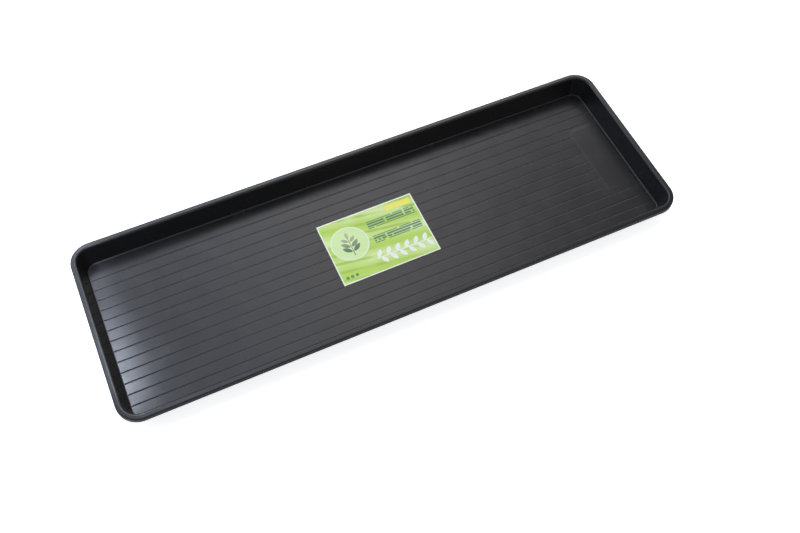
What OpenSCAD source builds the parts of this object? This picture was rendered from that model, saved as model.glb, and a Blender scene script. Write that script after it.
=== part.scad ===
// Garden tray: one sheet of black plastic, formed over a mould into a long,
// shallow tray with a turned-down rim and a grooved floor. A printed paper
// label lies on the middle of the floor, held by the adhesive on its back.
// Frame: the origin is on the ground under the middle of the tray. +X runs
// along the tray to the end with the bare panel, +Y runs across it to the
// back, and +Z is up. Sizes are in millimetres.

/* [Tray] */
// Overall length, over the lower edge of the skirt
tray_l = 1160; // [900:1:1300]
// Overall width, over the lower edge of the skirt
tray_w = 391; // [330:1:480]
// Depth inside, from the top of the rim down to the floor
inside_d = 46; // [28:0.5:60]
// Thickness of the formed sheet
sheet_t = 1.5; // [1:0.1:2]
// Radius of the skirt's corners, seen from above
corner_r = 43; // [36:0.5:60]

/* [Rim and walls] */
// Width of the rim, from the wall to the skirt
rim_w = 11.2; // [9:0.1:18]
// How far the rim falls from the wall to the skirt
rim_fall = 0.7; // [0:0.1:1.5]
// Height of the skirt that hangs from the rim's outer edge
skirt_h = 10.3; // [7:0.1:18]
// How far the skirt spreads outwards from its top to its lower edge
skirt_flare = 0.6; // [0:0.1:1.5]
// How far each wall leans inwards from the rim to the floor
wall_lean = 9; // [4:0.1:12]
// Inside radius of the bend between wall and rim
inner_bend_r = 2.5; // [1:0.1:3.5]
// Inside radius of the bend between rim and skirt
outer_bend_r = 1.5; // [0.8:0.1:2.5]
// Inside radius of the bend between wall and floor
foot_bend_r = 3; // [1:0.5:8]

/* [Grooves] */
// Distance from one groove to the next
groove_pitch = 23.5; // [16:0.5:34]
// Width of a groove where it opens into the floor
groove_w = 2; // [1.4:0.1:5]
// Width of a groove's flat bottom
groove_bottom_w = 0.8; // [0.4:0.1:1.2]
// Depth of a groove, which is also how far its rib stands out below
groove_d = 0.8; // [0.5:0.1:2.5]
// Distance from the front wall's foot to the first groove
front_margin = 30.5; // [16:0.5:50]
// Least distance from the last groove to the back wall's foot
back_margin = 32; // [16:0.5:50]
// Flat floor left between a groove's end and the bend of the end wall
groove_end_gap = 0.5; // [0.5:0.5:20]

/* [Bare panel] */
// Length of the bare panel, along the tray
panel_l = 67; // [40:1:120]
// Width of the bare panel, across the tray
panel_w = 170; // [100:1:220]
// Height that the panel is raised above the floor
panel_h = 0.2; // [0.1:0.1:1]
// Radius of the panel's corners
panel_r = 6; // [2:0.5:12]
// Flat floor between the panel and the bend of the end wall
panel_end_gap = 3; // [1:0.5:12]
// Flat floor between a stopped groove and the panel
panel_groove_gap = 2; // [1:0.5:10]

/* [Label] */
// Length of the label, along the tray
label_l = 210; // [105:1:297]
// Width of the label, across the tray
label_w = 148; // [74:1:210]
// Thickness of the label's paper
label_t = 0.25; // [0.1:0.05:0.5]
// Thickness of the adhesive under the label
adhesive_t = 0.1; // [0.05:0.05:0.2]
// Bare edge of the label that the adhesive doesn't reach
adhesive_margin = 2; // [1:0.5:10]
// Place of the label's centre along the tray
label_x = -6.2; // [-60:0.1:60]
// Place of the label's centre across the tray
label_y = 2; // [-20:0.1:20]
// Turn of the label on the floor, in degrees
label_turn = 0.23; // [-3:0.01:3]

/* [Hidden] */

// Straight steps that make up one bend of the sheet
bend_steps = 6;
// Sides that draw the round corners and the round ends
round_sides = 96;

// Overrun of a cut past the face that it opens, and overlap of two solids that
// are joined: half of the sheet
overrun = sheet_t / 2;

// Heights above the ground: the ribs' feet are at zero
floor_top = groove_d + sheet_t;
rim_top = floor_top + inside_d;
rim_edge = rim_top - rim_fall;
skirt_foot = rim_edge - skirt_h;

// Directions in which the wall, the rim and the skirt run outwards along the
// section, in degrees above the level
wall_way = atan(inside_d / wall_lean);
rim_way = -atan(rim_fall / rim_w);
skirt_way = atan(skirt_flare / skirt_h) - 90;

// Places along the section, measured outwards from a corner's centre line
skirt_top_s = corner_r - skirt_flare;
wall_top_s = skirt_top_s - rim_w;
wall_foot_s = wall_top_s - wall_lean;
flat_end_s = wall_foot_s - bend_run(foot_bend_r, wall_way);

// Half sizes of the rectangle on which the four corners are centred
half_l = tray_l / 2 - corner_r;
half_w = tray_w / 2 - corner_r;
// Half size of the flat floor along the tray, and of the walls' feet across it
flat_half_l = half_l + flat_end_s;
foot_half_w = half_w + wall_foot_s;

// Slope of a groove's sides from upright, and the sheet's share beside them
groove_angle = atan((groove_w - groove_bottom_w) / (2 * groove_d));
rib_skin = bend_run(sheet_t, 90 - groove_angle);

// The grooves fill the floor from the front margin, one pitch apart
groove_count = 1 + floor((2 * foot_half_w - front_margin - back_margin) / groove_pitch);
first_groove_y = front_margin - foot_half_w;
pattern_y = first_groove_y + (groove_count - 1) * groove_pitch / 2;
groove_left = groove_end_gap + groove_w / 2 - flat_half_l;
groove_right = -groove_left;

// The panel lies at the right-hand end, in line with the middle groove
panel_right = flat_half_l - panel_end_gap;
panel_left = panel_right - panel_l;
stopped_right = panel_left - panel_groove_gap - groove_w / 2;

// Distance from a sharp corner to the start of a bend of radius r there, where
// the sheet turns by the given angle
function bend_run(r, turn) = r * tan(turn / 2);

// Points along a bend round the sharp corner p of the upper face, which the
// sheet reaches in one direction and leaves in another. r is the upper face's
// radius, and below is how deep under that face the points lie.
function bend(p, from, to, r, below) =
    let (side = to > from ? 1 : -1,
         run = bend_run(r, abs(to - from)),
         centre = p - run * [cos(from), sin(from)] + side * r * [-sin(from), cos(from)])
    [for (i = [0 : bend_steps])
        let (a = from + (to - from) * i / bend_steps)
        centre + (side * r + below) * [sin(a), -cos(a)]];

// Points along one face of the formed sheet, from a corner's centre line out
// to the lower edge of the skirt. below is 0 for the upper face, and the
// sheet's thickness for the lower one.
function sheet_face(below) =
    concat(
        [[0, floor_top - below]],
        bend([wall_foot_s, floor_top], 0, wall_way, foot_bend_r, below),
        bend([wall_top_s, rim_top], wall_way, rim_way, inner_bend_r + sheet_t, below),
        bend([skirt_top_s, rim_edge], rim_way, skirt_way, outer_bend_r + sheet_t, below),
        [[corner_r + below / sin(skirt_way), skirt_foot]]);

// Section through the floor's edge, the wall, the rim and the skirt: out along
// the sheet's upper face, then back along its lower one
module sheet_section() {
    lower = sheet_face(sheet_t);
    polygon(concat(
        sheet_face(0),
        [for (i = [len(lower) - 1 : -1 : 0]) lower[i]]));
}

// One quarter of the formed sheet: a round corner, the half side and the half
// end that run from it, and the floor between them
module quarter_sheet() {
    translate([half_l, half_w, 0]) {
        rotate_extrude(angle = 90, $fn = round_sides) sheet_section();
        rotate([90, 0, 0]) linear_extrude(half_w) sheet_section();
        mirror([1, 0, 0]) rotate([90, 0, 90]) linear_extrude(half_l) sheet_section();
        translate([-half_l, -half_w, groove_d]) cube([half_l, half_w, sheet_t]);
    }
}

// Flat plate with round corners, from height low to height high
module plate(half_x, half_y, r, low, high) {
    translate([0, 0, low]) {
        translate([-half_x, r - half_y, 0]) cube([2 * half_x, 2 * (half_y - r), high - low]);
        translate([r - half_x, -half_y, 0]) cube([2 * (half_x - r), 2 * half_y, high - low]);
        for (x = [r - half_x, half_x - r], y = [r - half_y, half_y - r])
            translate([x, y, 0]) cylinder(h = high - low, r = r, $fn = round_sides);
    }
}

// Bar with sloped sides and round ends, between two places along the tray
module sloped_bar(from, to, y, low, high, low_half, high_half) {
    run = to - from;
    rise = high - low;
    translate([from, y, low]) {
        rotate([90, 0, 90])
            linear_extrude(run)
                polygon([[-low_half, 0], [low_half, 0], [high_half, rise], [-high_half, rise]]);
        for (end = [[0, 90], [run, -90]])
            translate([end[0], 0, 0])
                rotate([0, 0, end[1]])
                    rotate_extrude(angle = 180, $fn = round_sides)
                        polygon([[0, 0], [low_half, 0], [high_half, rise], [0, rise]]);
    }
}

// Right-hand end of a groove: those in line with the panel stop before it
function groove_end(y) =
    abs(y - pattern_y) < panel_w / 2 + groove_w ? stopped_right : groove_right;

// Places of the grooves across the tray
function groove_rows() =
    [for (i = [0 : groove_count - 1]) first_groove_y + i * groove_pitch];

// Ribs that the grooves make below the floor, one sheet thick round them
module ribs() {
    rib_h = groove_d + overrun;
    for (y = groove_rows())
        sloped_bar(groove_left, groove_end(y), y, 0, rib_h,
            groove_bottom_w / 2 + rib_skin,
            groove_bottom_w / 2 + rib_skin + rib_h * tan(groove_angle));
}

// Hollows of the grooves, which open into the floor
module grooves() {
    deep = groove_d + overrun;
    for (y = groove_rows())
        sloped_bar(groove_left, groove_end(y), y, sheet_t, sheet_t + deep,
            groove_bottom_w / 2,
            groove_bottom_w / 2 + deep * tan(groove_angle));
}

// The bare panel, and the same shape again for the hollow below it
module panel(grow, low, high) {
    translate([(panel_left + panel_right) / 2, pattern_y, 0])
        plate(panel_l / 2 + grow, panel_w / 2 + grow, panel_r + grow, low, high);
}

// The whole formed sheet
module tray() {
    color("#1b1c1f")
        difference() {
            union() {
                for (x = [0, 1], y = [0, 1])
                    mirror([x, 0, 0]) mirror([0, y, 0]) quarter_sheet();
                ribs();
                panel(0, floor_top - overrun, floor_top + panel_h);
            }
            grooves();
            panel(-panel_h, groove_d - overrun, groove_d + panel_h);
        }
}

// A sheet that lies on the floor where the label does
module label_sheet(margin, low, thickness) {
    translate([label_x, label_y, low])
        rotate([0, 0, label_turn])
            translate([margin - label_l / 2, margin - label_w / 2, 0])
                cube([label_l - 2 * margin, label_w - 2 * margin, thickness]);
}

// Adhesive on the back of the label, which lies on the lands of the floor
module label_adhesive() {
    color("#e9e4cf") label_sheet(adhesive_margin, floor_top, adhesive_t);
}

// The printed label itself
module label() {
    color("#a9cc62") label_sheet(0, floor_top + adhesive_t, label_t);
}

tray();
label();
label_adhesive();
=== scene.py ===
# %% [markdown]
# # A garden tray of black formed plastic
#
# The real tray is one sheet of black plastic. It was heated until it was soft, drawn over a mould,
# and trimmed. Its rim, walls, floor and grooves are all the same sheet. A printed paper label is
# stuck to the middle of the floor.
#
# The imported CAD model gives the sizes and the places. This script loads it as a fixed frame, and
# dresses it: a finer tray with rounded groove lips, a printed label, and finishes made of nodes.

import math

import bpy
from mathutils import Matrix, Vector


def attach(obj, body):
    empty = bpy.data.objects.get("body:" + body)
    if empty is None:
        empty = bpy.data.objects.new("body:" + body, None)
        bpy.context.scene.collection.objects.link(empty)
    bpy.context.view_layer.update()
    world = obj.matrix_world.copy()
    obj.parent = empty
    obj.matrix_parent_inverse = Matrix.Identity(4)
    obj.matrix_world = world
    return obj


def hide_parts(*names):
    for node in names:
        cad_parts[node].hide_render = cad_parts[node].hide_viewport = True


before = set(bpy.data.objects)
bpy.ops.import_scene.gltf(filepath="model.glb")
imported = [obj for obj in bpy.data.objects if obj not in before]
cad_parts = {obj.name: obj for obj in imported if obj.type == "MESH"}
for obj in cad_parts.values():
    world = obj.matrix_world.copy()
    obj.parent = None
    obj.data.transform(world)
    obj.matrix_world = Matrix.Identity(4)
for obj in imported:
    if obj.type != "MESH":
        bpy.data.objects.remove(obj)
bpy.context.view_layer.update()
print("CAD nodes:", sorted(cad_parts))

# %% [markdown]
# ## The sizes
#
# The script reads nothing but the frame, so the sizes that shape the tray are repeated here from
# the CAD source. They are written in millimetres and turned into metres, Blender's unit. The three
# bends are radii of the upper face. Two of them, at the walls' feet and between rim and skirt, are
# half a millimetre tighter here than in the CAD source.

# %% Sizes of the tray
MM = 0.001
TRAY_LENGTH = 1160 * MM
TRAY_WIDTH = 391 * MM
INSIDE_DEPTH = 46 * MM
SHEET = 1.5 * MM
CORNER_RADIUS = 43 * MM
RIM_WIDTH = 11.2 * MM
RIM_FALL = 0.7 * MM
SKIRT_HEIGHT = 10.3 * MM
SKIRT_FLARE = 0.6 * MM
WALL_LEAN = 9 * MM
FOOT_BEND = 2.5 * MM
INNER_BEND = 4 * MM
OUTER_BEND = 2.5 * MM

FLOOR = 2.3 * MM
RIM = FLOOR + INSIDE_DEPTH
RIM_EDGE = RIM - RIM_FALL
SKIRT_FOOT = RIM_EDGE - SKIRT_HEIGHT
HALF_LENGTH = TRAY_LENGTH / 2 - CORNER_RADIUS
HALF_WIDTH = TRAY_WIDTH / 2 - CORNER_RADIUS
print("corners are centred at", round(HALF_LENGTH, 4), round(HALF_WIDTH, 4))

# %% [markdown]
# ## Bends of the sheet
#
# A cut across the rim shows four straight runs, which are floor, wall, rim and skirt, and a bend
# between each two. The section is drawn as five points, and the three between its ends are rounded
# to their radii. To know where the flat sheet has to be bent, the lengths along it are added up: a
# bend of radius r that turns by an angle takes r times tan(angle / 2) off each straight run beside
# it, and adds r times the angle.

# %% Corner points of the section
wall_top_s = CORNER_RADIUS - SKIRT_FLARE - RIM_WIDTH
wall_foot_s = wall_top_s - WALL_LEAN
section_points = [
    (0, FLOOR),
    (wall_foot_s, FLOOR),
    (wall_top_s, RIM),
    (CORNER_RADIUS - SKIRT_FLARE, RIM_EDGE),
    (CORNER_RADIUS, SKIRT_FOOT),
]
section_radii = [0, FOOT_BEND, INNER_BEND, OUTER_BEND, 0]
headings = [
    math.atan2(end[1] - start[1], end[0] - start[0])
    for start, end in zip(section_points, section_points[1:])
]
section_turns = [0] + [abs(after - before) for before, after in zip(headings, headings[1:])] + [0]
print("the bends turn by", [round(math.degrees(turn), 1) for turn in section_turns[1:4]], "degrees")


# %% Where the flat sheet bends
def bend_places():
    """Start and end of each bend, and the sheet's whole length, along the flat sheet."""
    places = []
    run = 0
    for i in range(1, len(section_points)):
        cuts = [section_radii[k] * math.tan(section_turns[k] / 2) for k in (i - 1, i)]
        run += math.dist(section_points[i - 1], section_points[i]) - sum(cuts)
        places.append(run)
        if section_radii[i]:
            run += section_radii[i] * section_turns[i]
            places.append(run)
    return places


foot_start, foot_end, inner_start, inner_end, outer_start, outer_end, sheet_end = bend_places()
print("length of sheet past a corner's centre:", round(sheet_end / MM, 2), "mm")

# %% Sizes of the grooves and the bare panel
GROOVE_PITCH = 23.5 * MM
GROOVE_ROWS = 13
GROOVE_DEPTH = 0.8 * MM
GROOVE_WIDTH = 2 * MM
GROOVE_END_GAP = 0.5 * MM
FRONT_MARGIN = 30.5 * MM
PANEL_LENGTH = 67 * MM
PANEL_WIDTH = 170 * MM
PANEL_RADIUS = 6 * MM
PANEL_HEIGHT = 0.13 * MM
PANEL_END_GAP = 3 * MM
PANEL_GROOVE_GAP = 2 * MM

flat_end = HALF_LENGTH + foot_start
FIRST_ROW = FRONT_MARGIN - HALF_WIDTH - wall_foot_s
PATTERN_MIDDLE = FIRST_ROW + (GROOVE_ROWS - 1) / 2 * GROOVE_PITCH
GROOVE_END = flat_end - GROOVE_END_GAP - GROOVE_WIDTH / 2
PANEL_RIGHT = flat_end - PANEL_END_GAP
PANEL_LEFT = PANEL_RIGHT - PANEL_LENGTH
STOPPED_END = PANEL_LEFT - PANEL_GROOVE_GAP - GROOVE_WIDTH / 2
print("grooves end at", round(GROOVE_END, 4), "and before the panel at", round(STOPPED_END, 4))

# %% [markdown]
# ## The flat blank
#
# The tray starts as the factory's sheet does: flat. It is a slab of one thickness, ruled with
# lines in both directions. The lines lie close together where the sheet will bend or where a
# groove is pressed in, and far apart where it stays flat, so the mesh has detail only where the
# shape needs it. A line close beside each bend keeps the smooth shading of the bend off the flats.


# %% Lines of the blank
def spread(start, end, steps):
    """Evenly spaced places from start to end."""
    return [start + (end - start) * i / steps for i in range(steps + 1)]


def section_lines():
    """Lines from a corner's centre out to the edge of the sheet."""
    beside = 0.4 * MM
    lines = spread(0, foot_start - 10 * MM, 2) + [foot_start - beside]
    lines += spread(foot_start, foot_end, 6) + [foot_end + beside]
    lines += spread(foot_end, inner_start, 7)[1:-1] + [inner_start - beside]
    lines += spread(inner_start, inner_end, 7) + [inner_end + beside]
    lines += [outer_start - beside] + spread(outer_start, outer_end, 7) + [outer_end + beside]
    lines += spread(outer_end, sheet_end, 2)[1:-1] + [sheet_end - beside, sheet_end]
    return lines


groove_steps = (0.35, 0.65, 0.95, 1.3, 1.75, 2.2)
groove_offsets = [side * step * MM for step in groove_steps for side in (-1, 1)]
panel_offsets = [step * MM for step in (-0.8, -0.3, 0.3, 0.8, 2, 3.8, 6)]
print("lines across one groove:", len(groove_offsets) + 1)


# %% All the lines along and across
LEAST_GAP = 0.08 * MM


def merge_lines(lines):
    """Sorted lines, without those that almost touch."""
    kept = []
    for line in sorted(lines):
        if not kept or line - kept[-1] > LEAST_GAP:
            kept.append(line)
    return kept


def lines_across():
    """Places along the tray of the lines that run across it."""
    outer = [HALF_LENGTH + t for t in section_lines()]
    ends = [GROOVE_END + step for step in [0] + groove_offsets if step >= 0]
    lines = spread(-HALF_LENGTH, HALF_LENGTH, 28)
    lines += outer + ends + [-place for place in outer + ends]
    lines += [STOPPED_END + step for step in [0] + groove_offsets if step >= 0]
    lines += [PANEL_LEFT + step for step in panel_offsets]
    lines += [PANEL_RIGHT - step for step in panel_offsets]
    return merge_lines(lines)


def lines_along():
    """Places across the tray of the lines that run along it."""
    outer = [HALF_WIDTH + t for t in section_lines()]
    lines = outer + [-place for place in outer]
    for row in range(GROOVE_ROWS):
        middle = FIRST_ROW + row * GROOVE_PITCH
        lines += [middle + step for step in [0, GROOVE_PITCH / 2] + groove_offsets]
    for side in (-1, 1):
        edge = PATTERN_MIDDLE + side * PANEL_WIDTH / 2
        lines += [edge - side * step for step in panel_offsets]
    return merge_lines(lines)


print("lines:", len(lines_across()), "across and", len(lines_along()), "along")


# %% Cut the blank
def flat_slab(name, xs, ys, thickness):
    """A closed flat slab ruled with lines: its top lies at z = 0, its underside below."""
    columns, rows = len(xs), len(ys)
    layer = columns * rows
    points = [(x, y, 0) for y in ys for x in xs]
    points += [(x, y, -thickness) for y in ys for x in xs]
    faces = []
    for j in range(rows - 1):
        for i in range(columns - 1):
            a = j * columns + i
            b = a + columns
            faces.append((a, a + 1, b + 1, b))
            faces.append((a + layer, b + layer, b + 1 + layer, a + 1 + layer))
    edge = list(range(columns))
    edge += [j * columns + columns - 1 for j in range(1, rows)]
    edge += [(rows - 1) * columns + i for i in range(columns - 2, -1, -1)]
    edge += [j * columns for j in range(rows - 2, 0, -1)]
    for a, b in zip(edge, edge[1:] + edge[:1]):
        faces.append((b, a, a + layer, b + layer))
    mesh = bpy.data.meshes.new(name)
    mesh.from_pydata(points, [], faces)
    slab = bpy.data.objects.new(name, mesh)
    bpy.context.scene.collection.objects.link(slab)
    return slab


blank = flat_slab("formed_tray", lines_across(), lines_along(), SHEET)
print("blank:", len(blank.data.vertices), "points,", len(blank.data.polygons), "faces")

# %% [markdown]
# ## Wires
#
# Node trees are easier to read as sums than as a list of nodes and links. A `Wire` holds one
# output socket, and Python's operators on it add the Math nodes: `1 - mask * 0.5` becomes two
# nodes. A `Bench` holds a tree. Its method `add` adds any node with its settings and its values,
# and `math` is a shorter way to add a Math node. Shader trees and geometry trees share that node,
# so both use the same two classes.


# %% Wires and benches
def pick(sockets, key):
    """The socket with this place, identifier or name."""
    if isinstance(key, int):
        return sockets[key]
    exact = [s for s in sockets if s.identifier == key]
    named = [s for s in sockets if s.name == key and s.enabled]
    return (exact + named)[0]


class Bench:
    """A node tree, with a method that adds any node and a shorter one for Math nodes."""

    def __init__(self, tree):
        self.tree = tree

    def add(self, kind, settings=None, values=None, out=0):
        """Adds a node, sets it, fills its inputs, and gives the wire of one output."""
        node = self.tree.nodes.new(kind)
        for name, value in (settings or {}).items():
            if name == "items":
                for _ in range(value - len(node.index_switch_items)):
                    node.index_switch_items.new()
            else:
                setattr(node, name, value)
        for key, value in (values or {}).items():
            socket = pick(node.inputs, key)
            if isinstance(value, Wire):
                self.tree.links.new(value.socket, socket)
            else:
                socket.default_value = value
        return Wire(self, pick(node.outputs, out))

    def math(self, operation, *values):
        """Adds a Math node."""
        return self.add("ShaderNodeMath", {"operation": operation}, dict(enumerate(values)))


class Wire:
    """One output socket. Python's operators on it add Math nodes."""

    def __init__(self, bench, socket):
        self.bench = bench
        self.socket = socket

    def also(self, key):
        """Another output of the same node."""
        return Wire(self.bench, pick(self.socket.node.outputs, key))

    def __add__(self, other):
        return self.bench.math("ADD", self, other)

    def __sub__(self, other):
        return self.bench.math("SUBTRACT", self, other)

    def __rsub__(self, other):
        return self.bench.math("SUBTRACT", other, self)

    def __mul__(self, other):
        return self.bench.math("MULTIPLY", self, other)

    def __truediv__(self, other):
        return self.bench.math("DIVIDE", self, other)

    def __rtruediv__(self, other):
        return self.bench.math("DIVIDE", other, self)

    def __pow__(self, other):
        return self.bench.math("POWER", self, other)

    def __gt__(self, other):
        return self.bench.math("GREATER_THAN", self, other)

    def __lt__(self, other):
        return self.bench.math("LESS_THAN", self, other)

    def __abs__(self):
        return self.bench.math("ABSOLUTE", self)

    __radd__ = __add__
    __rmul__ = __mul__

    def most(self, other):
        """The larger of two values."""
        return self.bench.math("MAXIMUM", self, other)

    def least(self, other):
        """The smaller of two values."""
        return self.bench.math("MINIMUM", self, other)

    def ease(self, start, end, low=0.0, high=1.0):
        """Goes from low to high as this value goes from start to end, with soft ends."""
        return self.bench.add(
            "ShaderNodeMapRange",
            {"interpolation_type": "SMOOTHSTEP"},
            {"Value": self, "From Min": start, "From Max": end, "To Min": low, "To Max": high},
            out="Result",
        )


print("wires and benches are ready")

# %% [markdown]
# ## Forming the blank
#
# A Geometry Nodes tree does what the mould does. Each point of the flat sheet lies some length
# past the middle rectangle, and that length is looked up on the section curve: it says how far
# out and how high the point ends up. On the sides the point moves straight out. In a corner it
# moves out along a spoke, and the spokes share the quarter circle evenly, so the flat square of
# sheet becomes a round corner. The underside follows the upper face at the sheet's thickness.


# %% Tree inputs
forming = bpy.data.node_groups.new("form_sheet", "GeometryNodeTree")
form = Bench(forming)
forming.interface.new_socket("Geometry", in_out="INPUT", socket_type="NodeSocketGeometry")
forming.interface.new_socket("Geometry", in_out="OUTPUT", socket_type="NodeSocketGeometry")
form_sizes = {
    "Half length": HALF_LENGTH,
    "Half width": HALF_WIDTH,
    "Sheet thickness": SHEET,
    "Floor height": FLOOR,
    "Wall foot": wall_foot_s,
    "Wall top": wall_top_s,
    "Rim height": RIM,
    "Rim edge": CORNER_RADIUS - SKIRT_FLARE,
    "Rim edge height": RIM_EDGE,
    "Skirt edge": CORNER_RADIUS,
    "Skirt foot": SKIRT_FOOT,
    "Foot bend": FOOT_BEND,
    "Inner bend": INNER_BEND,
    "Outer bend": OUTER_BEND,
    "Groove pitch": GROOVE_PITCH,
    "Groove depth": GROOVE_DEPTH,
    "First row": FIRST_ROW,
    "Last row number": GROOVE_ROWS - 1,
    "Groove end": GROOVE_END,
    "Stopped end": STOPPED_END,
    "Panel middle": (PANEL_LEFT + PANEL_RIGHT) / 2,
    "Panel half length": PANEL_LENGTH / 2,
    "Panel half width": PANEL_WIDTH / 2,
    "Panel radius": PANEL_RADIUS,
    "Panel height": PANEL_HEIGHT,
}
for size_name in form_sizes:
    forming.interface.new_socket(size_name, in_out="INPUT", socket_type="NodeSocketFloat")
forming.interface.new_socket("Plastic", in_out="INPUT", socket_type="NodeSocketMaterial")
given = form.add("NodeGroupInput")
print("tree inputs:", len(form_sizes) + 2)


# %% The section as a curve
def section_curve():
    """The section through the rim, drawn by its five corners and rounded at three of them."""
    corners = [
        ("", "Floor height"),
        ("Wall foot", "Floor height"),
        ("Wall top", "Rim height"),
        ("Rim edge", "Rim edge height"),
        ("Skirt edge", "Skirt foot"),
    ]
    places = {}
    for number, (across, height) in enumerate(corners):
        values = {"Z": given.also(height)}
        if across:
            values["X"] = given.also(across)
        places[str(number)] = form.add("ShaderNodeCombineXYZ", None, values)
    index = form.add("GeometryNodeInputIndex")
    place = form.add(
        "GeometryNodeIndexSwitch",
        {"data_type": "VECTOR", "items": len(corners)},
        {"Index": index, **places},
    )
    bends = {
        "1": given.also("Foot bend"),
        "2": given.also("Inner bend"),
        "3": given.also("Outer bend"),
    }
    radius = form.add(
        "GeometryNodeIndexSwitch",
        {"data_type": "FLOAT", "items": len(corners)},
        {"Index": index, **bends},
    )
    line = form.add("GeometryNodeMeshLine", {"mode": "OFFSET"}, {"Count": len(corners)})
    line = form.add("GeometryNodeSetPosition", None, {"Geometry": line, "Position": place})
    line = form.add("GeometryNodeMeshToCurve", None, {"Mesh": line})
    return form.add(
        "GeometryNodeFilletCurve", {"mode": "POLY"}, {"Curve": line, "Radius": radius, "Count": 40}
    )


section = section_curve()
print("section curve wired")


# %% Where each point of the sheet goes
def formed_place():
    """Place of each point on the formed sheet before the grooves are pressed in."""
    flat = form.add("ShaderNodeSeparateXYZ", None, {0: form.add("GeometryNodeInputPosition")}, "X")
    flat_x, flat_y, flat_z = flat, flat.also("Y"), flat.also("Z")
    past_x = abs(flat_x) - given.also("Half length")
    past_y = abs(flat_y) - given.also("Half width")
    length_out = past_x.most(past_y).most(0)
    share = past_x.least(past_y).most(0) / length_out.most(1e-9)
    quarter = math.pi / 4
    at_end = past_x > past_y
    spoke = at_end * share * quarter + (1 - at_end) * (2 * quarter - share * quarter)
    on_section = form.add(
        "GeometryNodeSampleCurve",
        {"mode": "LENGTH", "use_all_curves": True},
        {"Curves": section, "Length": length_out},
        "Position",
    )
    upper = form.add("ShaderNodeSeparateXYZ", None, {0: on_section}, "X")
    run = form.add("ShaderNodeSeparateXYZ", None, {0: on_section.also("Tangent")}, "X")
    under = (flat_z < 0) * given.also("Sheet thickness")
    reach = upper + under * run.also("Z")
    height = upper.also("Z") - under * run
    x_side = form.math("SIGN", flat_x)
    y_side = form.math("SIGN", flat_y)
    x = x_side * (abs(flat_x).least(given.also("Half length")) + reach * form.math("COSINE", spoke))
    y = y_side * (abs(flat_y).least(given.also("Half width")) + reach * form.math("SINE", spoke))
    return x, y, height, flat_z < 0


formed_x, formed_y, formed_z, is_under = formed_place()
print("forming wired")

# %% [markdown]
# ## Grooves and panel
#
# The floor's thirteen grooves are one rule, not thirteen shapes. A point finds its nearest row,
# and its distance to that row's centre line says how deep it is pressed. Beyond the end of the
# line the distance is to the end point, which rounds the groove's end. The rows in line with the
# bare panel stop before it. On the underside the same groove stands out as a rib that is wider by
# about the sheet's thickness. A groove's upper face is shallower than its rib and has rounded
# lips, as soft plastic doesn't fill the mould's sharp corners, and it is sharpest near the left
# end. The panel is a rounded rectangle, raised by little more than a tenth of a millimetre.

# %% Groove and panel shape
LEFT_SHARE = 0.72
GROOVE_SHARE = 0.33
SHARE_FROM = -560 * MM
SHARE_TO = -280 * MM
GROOVE_FLAT = 0.15 * MM
GROOVE_LIP = 1.55 * MM
RIB_FLAT = 1.0 * MM
RIB_LIP = 2.1 * MM
PANEL_EDGE = 1.1 * MM


def pattern_middle():
    """Place of the middle row across the tray."""
    rows_width = given.also("Last row number") * given.also("Groove pitch")
    return given.also("First row") + rows_width / 2


def groove_depth(x, y):
    """How far the sheet is pressed down at a place on the floor."""
    row = form.math("ROUND", (y - given.also("First row")) / given.also("Groove pitch"))
    row = row.most(0).least(given.also("Last row number"))
    row_y = given.also("First row") + row * given.also("Groove pitch")
    stopped = abs(row_y - pattern_middle()) < given.also("Panel half width")
    end = given.also("Groove end")
    right_end = end - stopped * (end - given.also("Stopped end"))
    past_end = x - x.least(right_end).most(0 - end)
    distance = form.math("SQRT", past_end**2 + (y - row_y) ** 2)
    flat = GROOVE_FLAT + is_under * (RIB_FLAT - GROOVE_FLAT)
    lip = GROOVE_LIP + is_under * (RIB_LIP - GROOVE_LIP)
    share = x.ease(SHARE_FROM, SHARE_TO, LEFT_SHARE, GROOVE_SHARE)
    depth = given.also("Groove depth") * (share + is_under * (1 - share))
    return distance.ease(flat, lip, depth, 0)


def panel_rise(x, y):
    """How far the sheet is raised at a place on the floor."""
    radius = given.also("Panel radius")
    past_x = abs(x - given.also("Panel middle")) - given.also("Panel half length") + radius
    past_y = abs(y - pattern_middle()) - given.also("Panel half width") + radius
    corner = form.math("SQRT", past_x.most(0) ** 2 + past_y.most(0) ** 2)
    distance = corner + past_x.most(past_y).least(0) - radius
    return distance.ease(-PANEL_EDGE, PANEL_EDGE, given.also("Panel height"), 0)


pressed_z = formed_z - groove_depth(formed_x, formed_y) + panel_rise(formed_x, formed_y)
print("grooves and panel wired")

# %% End of the tree
formed_at = form.add(
    "ShaderNodeCombineXYZ", None, {"X": formed_x, "Y": formed_y, "Z": pressed_z}
)
sheet = form.add("GeometryNodeSetPosition", None, {"Geometry": given, "Position": formed_at})
sheet = form.add("GeometryNodeSetShadeSmooth", None, {"Geometry": sheet})
sheet = form.add("GeometryNodeRealizeInstances", None, {"Geometry": sheet})
sheet = form.add(
    "GeometryNodeSetMaterial", None, {"Geometry": sheet, "Material": given.also("Plastic")}
)
result = forming.nodes.new("NodeGroupOutput")
forming.links.new(sheet.socket, result.inputs[0])
print("nodes in the tree:", len(forming.nodes))

# %% [markdown]
# ## The black plastic
#
# The tray's plastic is black and satin: dark in itself, with all its light from reflections. What
# makes it look real is what breaks the reflection: a fine grain from the mould, long soft waves
# where the sheet cooled unevenly, faint rub marks, and a very little pale dust on the floor. The
# grooves' bottoms are matt, which makes them read as darker lines. A thin, dull coat spreads some
# of the light widely, so that the walls aren't pure black.
# All the patterns read Object coordinates, in metres, so their sizes can be set as real sizes.


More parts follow.
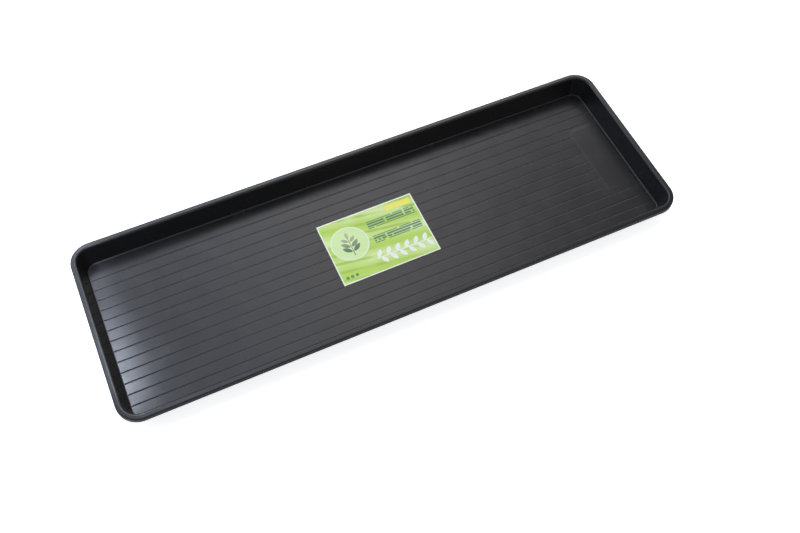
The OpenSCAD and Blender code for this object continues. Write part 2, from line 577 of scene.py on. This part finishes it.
# %% A material and its bench
def new_finish(name):
    """An empty material, its bench and its surface shader's node."""
    material = bpy.data.materials.new(name)
    material.use_nodes = True
    bench = Bench(material.node_tree)
    surface = next(n for n in material.node_tree.nodes if n.type == "BSDF_PRINCIPLED")
    return material, bench, surface


def connect(bench, surface, values):
    """Sets or links the inputs of a surface shader."""
    for key, value in values.items():
        if isinstance(value, Wire):
            bench.tree.links.new(value.socket, surface.inputs[key])
        else:
            surface.inputs[key].default_value = value


def paint(bench, under, over, mask):
    """The colour over laid on the colour under where the mask is 1."""
    return bench.add(
        "ShaderNodeMix",
        {"data_type": "RGBA"},
        {"Factor_Float": mask, "A_Color": under, "B_Color": over},
        "Result_Color",
    )


def noise(bench, place, size, detail=2.0, rough=0.5):
    """Noise from 0 to 1 with features of about this size, in metres."""
    values = {"Vector": place, "Scale": 1 / size, "Detail": detail, "Roughness": rough}
    return bench.add("ShaderNodeTexNoise", None, values)


def stretched(bench, place, factors):
    """Coordinates that stretch a pattern along the axes with small factors."""
    return bench.add("ShaderNodeVectorMath", {"operation": "MULTIPLY"}, {0: place, 1: factors})


def relief(bench, height, depth, strength=1.0):
    """A normal that follows a pattern of this depth, in metres."""
    values = {"Strength": strength, "Distance": depth, "Height": height}
    return bench.add("ShaderNodeBump", None, values)


print("finish helpers are ready")


# %% Black plastic finish
PLASTIC_BLACK = (0.0055, 0.0054, 0.0054, 1)
DUST_GREY = (0.16, 0.155, 0.145, 1)


def black_plastic():
    """Satin black sheet plastic with grain, soft waves, rub marks and dust."""
    material, bench, surface = new_finish("black_plastic")
    place = bench.add("ShaderNodeTexCoord", out="Object")
    x = bench.add("ShaderNodeSeparateXYZ", None, {0: place}, "X")
    height = x.also("Z")
    grain = noise(bench, place, 0.9 * MM, detail=3)
    waves = noise(bench, place, 70 * MM, detail=1)
    drawn = stretched(bench, place, (0.06, 1, 1))
    rubs = noise(bench, drawn, 1.6 * MM, detail=2, rough=0.6).ease(0.6, 0.75)
    patches = noise(bench, place, 55 * MM, detail=3).ease(0.4, 0.75)
    specks = noise(bench, place, 2.2 * MM, detail=2, rough=0.4).ease(0.76, 0.82)
    low = height.ease(FLOOR + 2 * MM, FLOOR + 12 * MM, 1, 0.15)
    dust = specks * low * 0.04
    matt = height.ease(FLOOR - 0.45 * MM, FLOOR - 0.05 * MM, 0.34, 0)
    rough = 0.24 + patches * 0.05 + rubs * patches * 0.03 + dust * 0.3 + matt
    values = {
        "Base Color": paint(bench, PLASTIC_BLACK, DUST_GREY, dust),
        "Roughness": rough,
        "IOR": 1.4,
        "Coat Weight": 0.17,
        "Coat Roughness": 0.65,
        "Normal": relief(bench, grain * 0.03 + waves * 14, 0.05 * MM),
    }
    connect(bench, surface, values)
    return material


plastic = black_plastic()
print("black plastic:", len(plastic.node_tree.nodes), "nodes")


# %% [markdown]
# ## From flat blank to tray
#
# The modifier gets its sizes by each input's identifier, because names are only labels in
# Blender. Then the evaluated object is copied into a plain mesh and the modifier is removed, so
# that the finished piece carries its shape in its own points, as the export needs.


# %% Form the tray
def give_inputs(modifier, tree, values):
    """Sets a modifier's inputs by the identifiers of the tree's named sockets."""
    for item in tree.interface.items_tree:
        if item.name in values and item.in_out == "INPUT":
            modifier[item.identifier] = values[item.name]


def make_plain(piece):
    """Turns a piece and its modifiers into a plain mesh."""
    graph = bpy.context.evaluated_depsgraph_get()
    mesh = bpy.data.meshes.new_from_object(piece.evaluated_get(graph), depsgraph=graph)
    piece.modifiers.clear()
    piece.data = mesh


modifier = blank.modifiers.new("form", "NODES")
modifier.node_group = forming
give_inputs(modifier, forming, {**form_sizes, "Plastic": plastic})
make_plain(blank)
tray = blank
tray.data.set_sharp_from_angle(angle=math.radians(50))
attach(tray, "root")
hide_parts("tray")
print("tray:", len(tray.data.polygons), "faces, size", [round(d / MM, 2) for d in tray.dimensions])

# %% [markdown]
# ## The label's paper
#
# The label is a sheet of coated paper of A5 size, stuck flat over the grooves. It gets a real
# thickness, so its white cut edge catches the light, and its free edge lifts a little where the
# adhesive under it stops. It is a ruled slab like the blank, and a short rule moves its points.

# %% Sizes of the label
LABEL_LENGTH = 210 * MM
LABEL_WIDTH = 148 * MM
PAPER = 0.25 * MM
ADHESIVE = 0.1 * MM
LABEL_X = -6.2 * MM
LABEL_Y = 2 * MM
LABEL_TURN = math.radians(0.23)
LABEL_BOTTOM = FLOOR + ADHESIVE
EDGE_LIFT = 0.25 * MM
EDGE_REACH = 5 * MM
EDGE_WAVE = 17 * MM
CORNER_LIFT = 0.7 * MM
CORNER_REACH = 28 * MM
print("paper:", round(LABEL_LENGTH / MM), "x", round(LABEL_WIDTH / MM), "mm")


# %% Cut and lay the label
def lift(u, v):
    """How far the paper stands off the floor at a place on the label."""
    edge = min(LABEL_LENGTH / 2 - abs(u), LABEL_WIDTH / 2 - abs(v))
    edge_part = max(0, 1 - edge / EDGE_REACH) ** 2 * (0.6 + 0.4 * math.sin(u / EDGE_WAVE))
    corner = math.hypot(LABEL_LENGTH / 2 - u, LABEL_WIDTH / 2 - v)
    corner_part = max(0, 1 - corner / CORNER_REACH) ** 2
    return EDGE_LIFT * edge_part + CORNER_LIFT * corner_part


def lay_label(piece):
    """Lifts the label's edges and puts it in its place on the floor."""
    turn = Matrix.Rotation(LABEL_TURN, 4, "Z")
    for point in piece.data.vertices:
        u, v, w = point.co
        level = LABEL_BOTTOM + PAPER + w + lift(u, v)
        point.co = turn @ Vector((u, v, 0)) + Vector((LABEL_X, LABEL_Y, level))


label = flat_slab(
    "printed_label",
    spread(-LABEL_LENGTH / 2, LABEL_LENGTH / 2, 84),
    spread(-LABEL_WIDTH / 2, LABEL_WIDTH / 2, 60),
    PAPER,
)
lay_label(label)
label.data.shade_smooth()
label.data.set_sharp_from_angle(angle=math.radians(40))
print("label:", len(label.data.polygons), "faces")

# %% [markdown]
# ## The label's print
#
# The print is a plain garden design made for this part: deep and pale lime bands in a cream
# border, a ringed disc with a sprig, a white garland, two blocks of grey-green bars, three dots,
# and a bare yellow block. Each shape is a distance: how far a place is from the shape's edge, in
# millimetres. Where the distance is negative, the ink shows, and its edge is a soft step about a
# quarter of a millimetre wide.


# %% Shapes as distances
def inked(distance):
    """1 inside a shape and 0 outside it."""
    return distance.ease(-0.12, 0.12, 1, 0)


def disc_shape(u, v, at, radius):
    """Distance to a round disc."""
    return u.bench.math("SQRT", (u - at[0]) ** 2 + (v - at[1]) ** 2) - radius


def block_shape(u, v, at, half, radius):
    """Distance to a rectangle with round corners."""
    past_u = abs(u - at[0]) - (half[0] - radius)
    past_v = abs(v - at[1]) - (half[1] - radius)
    corner = u.bench.math("SQRT", past_u.most(0) ** 2 + past_v.most(0) ** 2)
    return corner + past_u.most(past_v).least(0) - radius


def leaf_shape(u, v, at, length, width, degrees):
    """Distance to a leaf with two pointed ends, drawn by two circles that cross."""
    angle = math.radians(degrees)
    along = (u - at[0]) * math.cos(angle) + (v - at[1]) * math.sin(angle)
    across = (v - at[1]) * math.cos(angle) - (u - at[0]) * math.sin(angle)
    radius = (length**2 + width**2) / (4 * width)
    shift = radius - width / 2
    return u.bench.math("SQRT", along**2 + (abs(across) + shift) ** 2) - radius


print("a leaf of 20 x 8 mm is cut from circles of radius", (20**2 + 8**2) / (4 * 8), "mm")

# %% Inks
PAPER_WHITE = (0.86, 0.88, 0.80, 1)
BORDER_CREAM = (0.86, 0.92, 0.74, 1)
LIME = (0.47, 0.67, 0.11, 1)
DEEP_LIME = (0.37, 0.56, 0.08, 1)
PALE_LIME = (0.66, 0.81, 0.36, 1)
DISC_GREEN = (0.66, 0.84, 0.42, 1)
GREY_GREEN = (0.07, 0.18, 0.13, 1)
LEAF_GREEN = (0.045, 0.17, 0.10, 1)
LEAF_CREAM = (0.80, 0.80, 0.42, 1)
YELLOW = (0.88, 0.80, 0.15, 1)
print("ten inks")


# %% Garland and sprig
def garland(u, v, pitch, level):
    """A level stem with leaves above and below it in turn."""
    bench = u.bench
    count = bench.math("FLOOR", u / pitch)
    near = u - (count + 0.5) * pitch
    above = leaf_shape(near, v, (-2, level + 8.5), 19, 9, 57)
    below = leaf_shape(near, v, (3.5, level - 8.5), 19, 9, -57)
    return (abs(v - level) - 1).least(above).least(below)


def sprig(u, v, at):
    """A sprig with a stem, three pairs of leaves and a top leaf."""
    shape = block_shape(u, v, (at[0], at[1] - 4), (0.8, 22), 0.8)
    for step, length in ((-14, 22), (-3, 21), (8, 17)):
        for side in (-1, 1):
            centre = (at[0] + side * (1 + length * 0.42), at[1] + step + 5)
            shape = shape.least(leaf_shape(u, v, centre, length, length * 0.42, 90 - side * 52))
    return shape.least(leaf_shape(u, v, (at[0], at[1] + 23), 17, 7, 90))


print("garland and sprig drawn")


# %% Rows of bars
ROW_PITCH = 6
BAR_WIDTH = 4.2
BAR_LENGTH = 4.2
GAP_SHARE = 0.1


def bar_rows(u, v, at, half):
    """Rows of short printed bars that fill a rectangle, with a few gaps between them."""
    bench = u.bench
    rows = bench.math("FLOOR", v / ROW_PITCH)
    parts = bench.math("FLOOR", u / BAR_LENGTH)
    cell = bench.add("ShaderNodeCombineXYZ", None, {"X": parts, "Y": rows})
    printed = bench.add("ShaderNodeTexWhiteNoise", None, {"Vector": cell}, "Value") > GAP_SHARE
    bar = abs(v - rows * ROW_PITCH - ROW_PITCH / 2) < BAR_WIDTH / 2
    return inked(block_shape(u, v, at, half, 0.5)) * bar * printed


print("bars drawn")


# %% Ground of the print
def print_ground(bench, mapped, u, v):
    """Lime ground with soft slanting bands, some deeper and some paler."""
    slope = v + u * 0.16
    bands = bench.math("SINE", slope * 0.12) * 0.5 + 0.5
    deep = bench.math("SINE", slope * 0.31 + 1.2).ease(0.35, 0.9)
    drift = noise(bench, mapped, 60, detail=1)
    colour = paint(bench, LIME, PALE_LIME, bands * drift.ease(0.3, 0.6, 0.4, 1))
    return paint(bench, colour, DEEP_LIME, deep * drift.ease(0.35, 0.65, 0.9, 0.1))


print("print ground mixed")


# %% Plants of the print
DISC_AT = (-57, 12)
DISC_RADIUS = 40
SPRIG_AT = (-57, 8)
GARLAND_PITCH = 20
GARLAND_LEVEL = -42
GARLAND_END = 99


def print_plants(bench, colour, u, v):
    """Prints the ringed disc, the sprig on it and the garland."""
    disc = disc_shape(u, v, DISC_AT, DISC_RADIUS)
    colour = paint(bench, colour, DISC_GREEN, inked(disc) * 0.85)
    colour = paint(bench, colour, PAPER_WHITE, inked(abs(disc + 2) - 0.9) * 0.6)
    leaves = sprig(u, v, SPRIG_AT)
    colour = paint(bench, colour, LEAF_CREAM, inked(leaves - 1.2) * 0.8)
    colour = paint(bench, colour, LEAF_GREEN, inked(leaves) * v.ease(-10, 35, 0.95, 0.45))
    leafy = inked(garland(u, v, GARLAND_PITCH, GARLAND_LEVEL))
    leafy = leafy * (u > -GARLAND_PITCH) * (u < GARLAND_END)
    return paint(bench, colour, PAPER_WHITE, leafy * 0.95)


print("plants ready")


# %% Blocks and dots of the print
def print_blocks(bench, colour, u, v):
    """Prints the two blocks of bars, the yellow block and the dots."""
    for level in (36, 0):
        bars = bar_rows(u, v, (44, level), (52, 9))
        colour = paint(bench, colour, GREY_GREEN, bars * 0.85)
    colour = paint(bench, colour, YELLOW, inked(block_shape(u, v, (70, 60), (28, 6.5), 1.5)))
    for number in range(3):
        dot = disc_shape(u, v, (-92 + 10 * number, -60), 3.5)
        colour = paint(bench, colour, LEAF_GREEN, inked(dot) * 0.8)
    return colour


print("blocks and dots ready")

# %% Label print
PRINT_HALF = (102.6, 71.6)


def label_print():
    """Coated paper with the printed design."""
    material, bench, surface = new_finish("label_print")
    place = bench.add("ShaderNodeTexCoord", out="Object")
    mapped = bench.add(
        "ShaderNodeMapping",
        {"vector_type": "TEXTURE"},
        {
            "Vector": place,
            "Location": (LABEL_X, LABEL_Y, 0),
            "Rotation": (0, 0, LABEL_TURN),
            "Scale": (MM, MM, MM),
        },
    )
    u = bench.add("ShaderNodeSeparateXYZ", None, {0: mapped}, "X")
    v = u.also("Y")
    colour = print_ground(bench, mapped, u, v)
    colour = print_plants(bench, colour, u, v)
    colour = print_blocks(bench, colour, u, v)
    inside = inked(block_shape(u, v, (0, 0), PRINT_HALF, 0.5))
    colour = paint(bench, BORDER_CREAM, colour, inside)
    facing = bench.add("ShaderNodeNewGeometry", out="Normal")
    top = bench.add("ShaderNodeSeparateXYZ", None, {0: facing}, "Z") > 0.5
    colour = paint(bench, PAPER_WHITE, colour, top)
    fibres = noise(bench, mapped, 0.6, detail=2)
    values = {
        "Base Color": colour,
        "Roughness": 0.45 + fibres * 0.1,
        "Specular IOR Level": 0.25,
        "Normal": relief(bench, fibres, 0.02 * MM, strength=0.4),
    }
    connect(bench, surface, values)
    return material


label.data.materials.append(label_print())
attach(label, "root")
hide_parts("label")
print("label print:", len(label.data.materials[0].node_tree.nodes), "nodes")

# %% [markdown]
# ## The adhesive
#
# The adhesive is a thin coat on the back of the label. Its CAD solid has the right shape, so it
# stays, and gets a cream, slightly streaky finish.


# %% Adhesive finish
THIN_GUM = (0.66, 0.60, 0.44, 1)
THICK_GUM = (0.80, 0.76, 0.62, 1)


def adhesive_coat():
    """Cream adhesive with the streaks of its roller."""
    material, bench, surface = new_finish("adhesive_coat")
    place = bench.add("ShaderNodeTexCoord", out="Object")
    streaks = noise(bench, stretched(bench, place, (1, 0.1, 1)), 1.5 * MM, detail=2)
    values = {
        "Base Color": paint(bench, THIN_GUM, THICK_GUM, streaks),
        "Roughness": 0.3 + streaks * 0.2,
        "Normal": relief(bench, streaks, 0.03 * MM, strength=0.5),
    }
    connect(bench, surface, values)
    return material


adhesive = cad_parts["label_adhesive"]
adhesive.data.materials.clear()
adhesive.data.materials.append(adhesive_coat())
print("adhesive finish set")

# %% [markdown]
# ## Camera
#
# The camera stands where the photographer stood. Its place and its tilt were solved from the
# tray's edges and grooves, so the render and the photograph can be laid over each other.

# %% Camera
CAMERA_LENS = 39.35
CAMERA_PLACE = Vector((-0.38795, -0.84578, 1.50487))

camera_data = bpy.data.cameras.new("camera")
camera_data.sensor_width = 36
camera_data.lens = CAMERA_LENS
camera = bpy.data.objects.new("camera", camera_data)
bpy.context.scene.collection.objects.link(camera)
right = Vector((0.90835, -0.41749, 0.02444))
up = Vector((0.35088, 0.79263, 0.49862))
forward = Vector((0.22754, 0.44435, -0.86648))
turned = Matrix((right, up, -forward)).transposed().to_4x4()
camera.matrix_world = Matrix.Translation(CAMERA_PLACE) @ turned
bpy.context.scene.camera = camera
print("camera looks down by", round(math.degrees(math.asin(-forward.z)), 1), "degrees")

# %% [markdown]
# ## Floor and light
#
# The photograph has a pure white ground and hardly a shadow, so the floor is pale and the light
# comes from all sides. Black plastic shows its lights as reflections, so the sky is set up like a
# studio. A dim dome fills the shadows. A wide ceiling panel gives the tray's floor its grey sheen,
# and a small one beside it reaches the left end. A screen behind the tray lights the rims, and a
# low reflector in front lights the back wall. Narrow lamps hang close above the left end, where
# the floor has a bluish glow. The camera sees neither sky nor lamps, only plain white.


# %% Floor
FLOOR_REACH = 40
FLOOR_DROP = 0.2 * MM


def pale_floor():
    """A plain pale ground that reaches past every view."""
    signs = ((-1, -1), (1, -1), (1, 1), (-1, 1))
    corners = [(x * FLOOR_REACH, y * FLOOR_REACH, -FLOOR_DROP) for x, y in signs]
    mesh = bpy.data.meshes.new("studio_floor")
    mesh.from_pydata(corners, [], [(0, 1, 2, 3)])
    ground = bpy.data.objects.new("studio_floor", mesh)
    bpy.context.scene.collection.objects.link(ground)
    material, bench, surface = new_finish("studio_white")
    place = bench.add("ShaderNodeTexCoord", out="Object")
    paper = noise(bench, place, 0.4, detail=2)
    colour = paint(bench, (0.76, 0.76, 0.76, 1), (0.8, 0.8, 0.8, 1), paper)
    seen = bench.add("ShaderNodeLightPath", out="Is Camera Ray")
    shine = paint(bench, (0, 0, 0, 1), (0.75, 0.75, 0.75, 1), seen)
    values = {
        "Base Color": colour,
        "Roughness": 0.7,
        "Emission Color": shine,
        "Emission Strength": 1,
    }
    connect(bench, surface, values)
    mesh.materials.append(material)
    return ground


pale_floor()
print("floor laid")


# %% Sky
studio = bpy.data.worlds.new("studio")
bpy.context.scene.world = studio
studio.use_nodes = True
sky = Bench(studio.node_tree)
toward = sky.add("ShaderNodeTexCoord", out="Generated")
toward_x = sky.add("ShaderNodeSeparateXYZ", None, {0: toward}, "X")
rise = toward_x.also("Z").most(0.05)
across = toward_x / rise
back = toward_x.also("Y") / rise
print("across and back: how far a direction leans right and back for each unit that it rises")

# %% Dome and front reflector
dome = across.ease(0.3, 0.62, 0.75, 0.47) * back.ease(-0.1, 0.35, 0.62, 1)
dome = dome * (1 - across.ease(0.53, 0.63) * (1 - back.ease(0.43, 0.52)) * 0.5)
reflector = across.ease(-0.25, 0.35, 0.15, 1) * across.ease(0.8, 1.6, 1, 0.2)
reflector = back.ease(-0.8, -1.6) * reflector
print("dome and reflector shaped")

# %% Ceiling panels and back screen
panel = across.ease(-0.05, 0.1) * (1 - across.ease(0.28, 0.5))
panel = panel * back.ease(0.42, 0.55, 0.78, 1) * back.ease(0, 0.3) * (1 - back.ease(0.45, 1.1))
side_panel = across.ease(-0.2, -0.1) * (1 - across.ease(-0.08, 0.08))
side_panel = side_panel * back.ease(0, 0.2) * (1 - back.ease(0.32, 0.5))
screen = back.ease(0.57, 0.92) * (1 - back.ease(1.0, 1.4)) * across.ease(0.35, 0.75, 1, 0.75)
print("ceiling panels and screen shaped")

# %% The whole sky
BLUISH_WHITE = (0.77, 0.84, 1, 1)
SOFT_WHITE = (0.96, 0.94, 0.97, 1)
WHITE = (1, 1, 1, 1)

strength = panel * 2.5 + side_panel * 5 + screen * 3.9 + reflector * 1.4 + dome
tint = paint(sky, BLUISH_WHITE, SOFT_WHITE, across.ease(-0.12, 0.25))
seen = sky.add("ShaderNodeLightPath", out="Is Camera Ray")
strength = strength * (1 - seen) + seen
tint = paint(sky, tint, WHITE, seen)
background = studio.node_tree.nodes["Background"]
sky.tree.links.new(strength.socket, background.inputs["Strength"])
sky.tree.links.new(tint.socket, background.inputs["Color"])
bpy.context.scene.view_settings.view_transform = "Standard"
print("sky nodes:", len(studio.node_tree.nodes))


# %% Window lamps
LAMP_WIDTH = 0.034
LAMP_X = -0.594
LAMP_HEIGHT = 0.35


def window_lamp(name, length, middle, energy):
    """A narrow bright panel close above the tray's left end."""
    data = bpy.data.lights.new(name, "AREA")
    data.shape = "RECTANGLE"
    data.size = LAMP_WIDTH
    data.size_y = length
    data.color = (0.76, 0.84, 1)
    data.energy = energy
    lamp = bpy.data.objects.new(name, data)
    lamp.location = (LAMP_X, middle, LAMP_HEIGHT)
    lamp.visible_camera = False
    bpy.context.scene.collection.objects.link(lamp)
    return lamp


lamp_sizes = [("near", 0.14, 0.075, 0.62), ("middle", 0.12, 0.2, 0.3), ("far", 0.26, 0.39, 0.22)]
for part, length, middle, energy in lamp_sizes:
    window_lamp("window_lamp_" + part, length, middle, energy)
print(len(lamp_sizes), "window lamps hung")
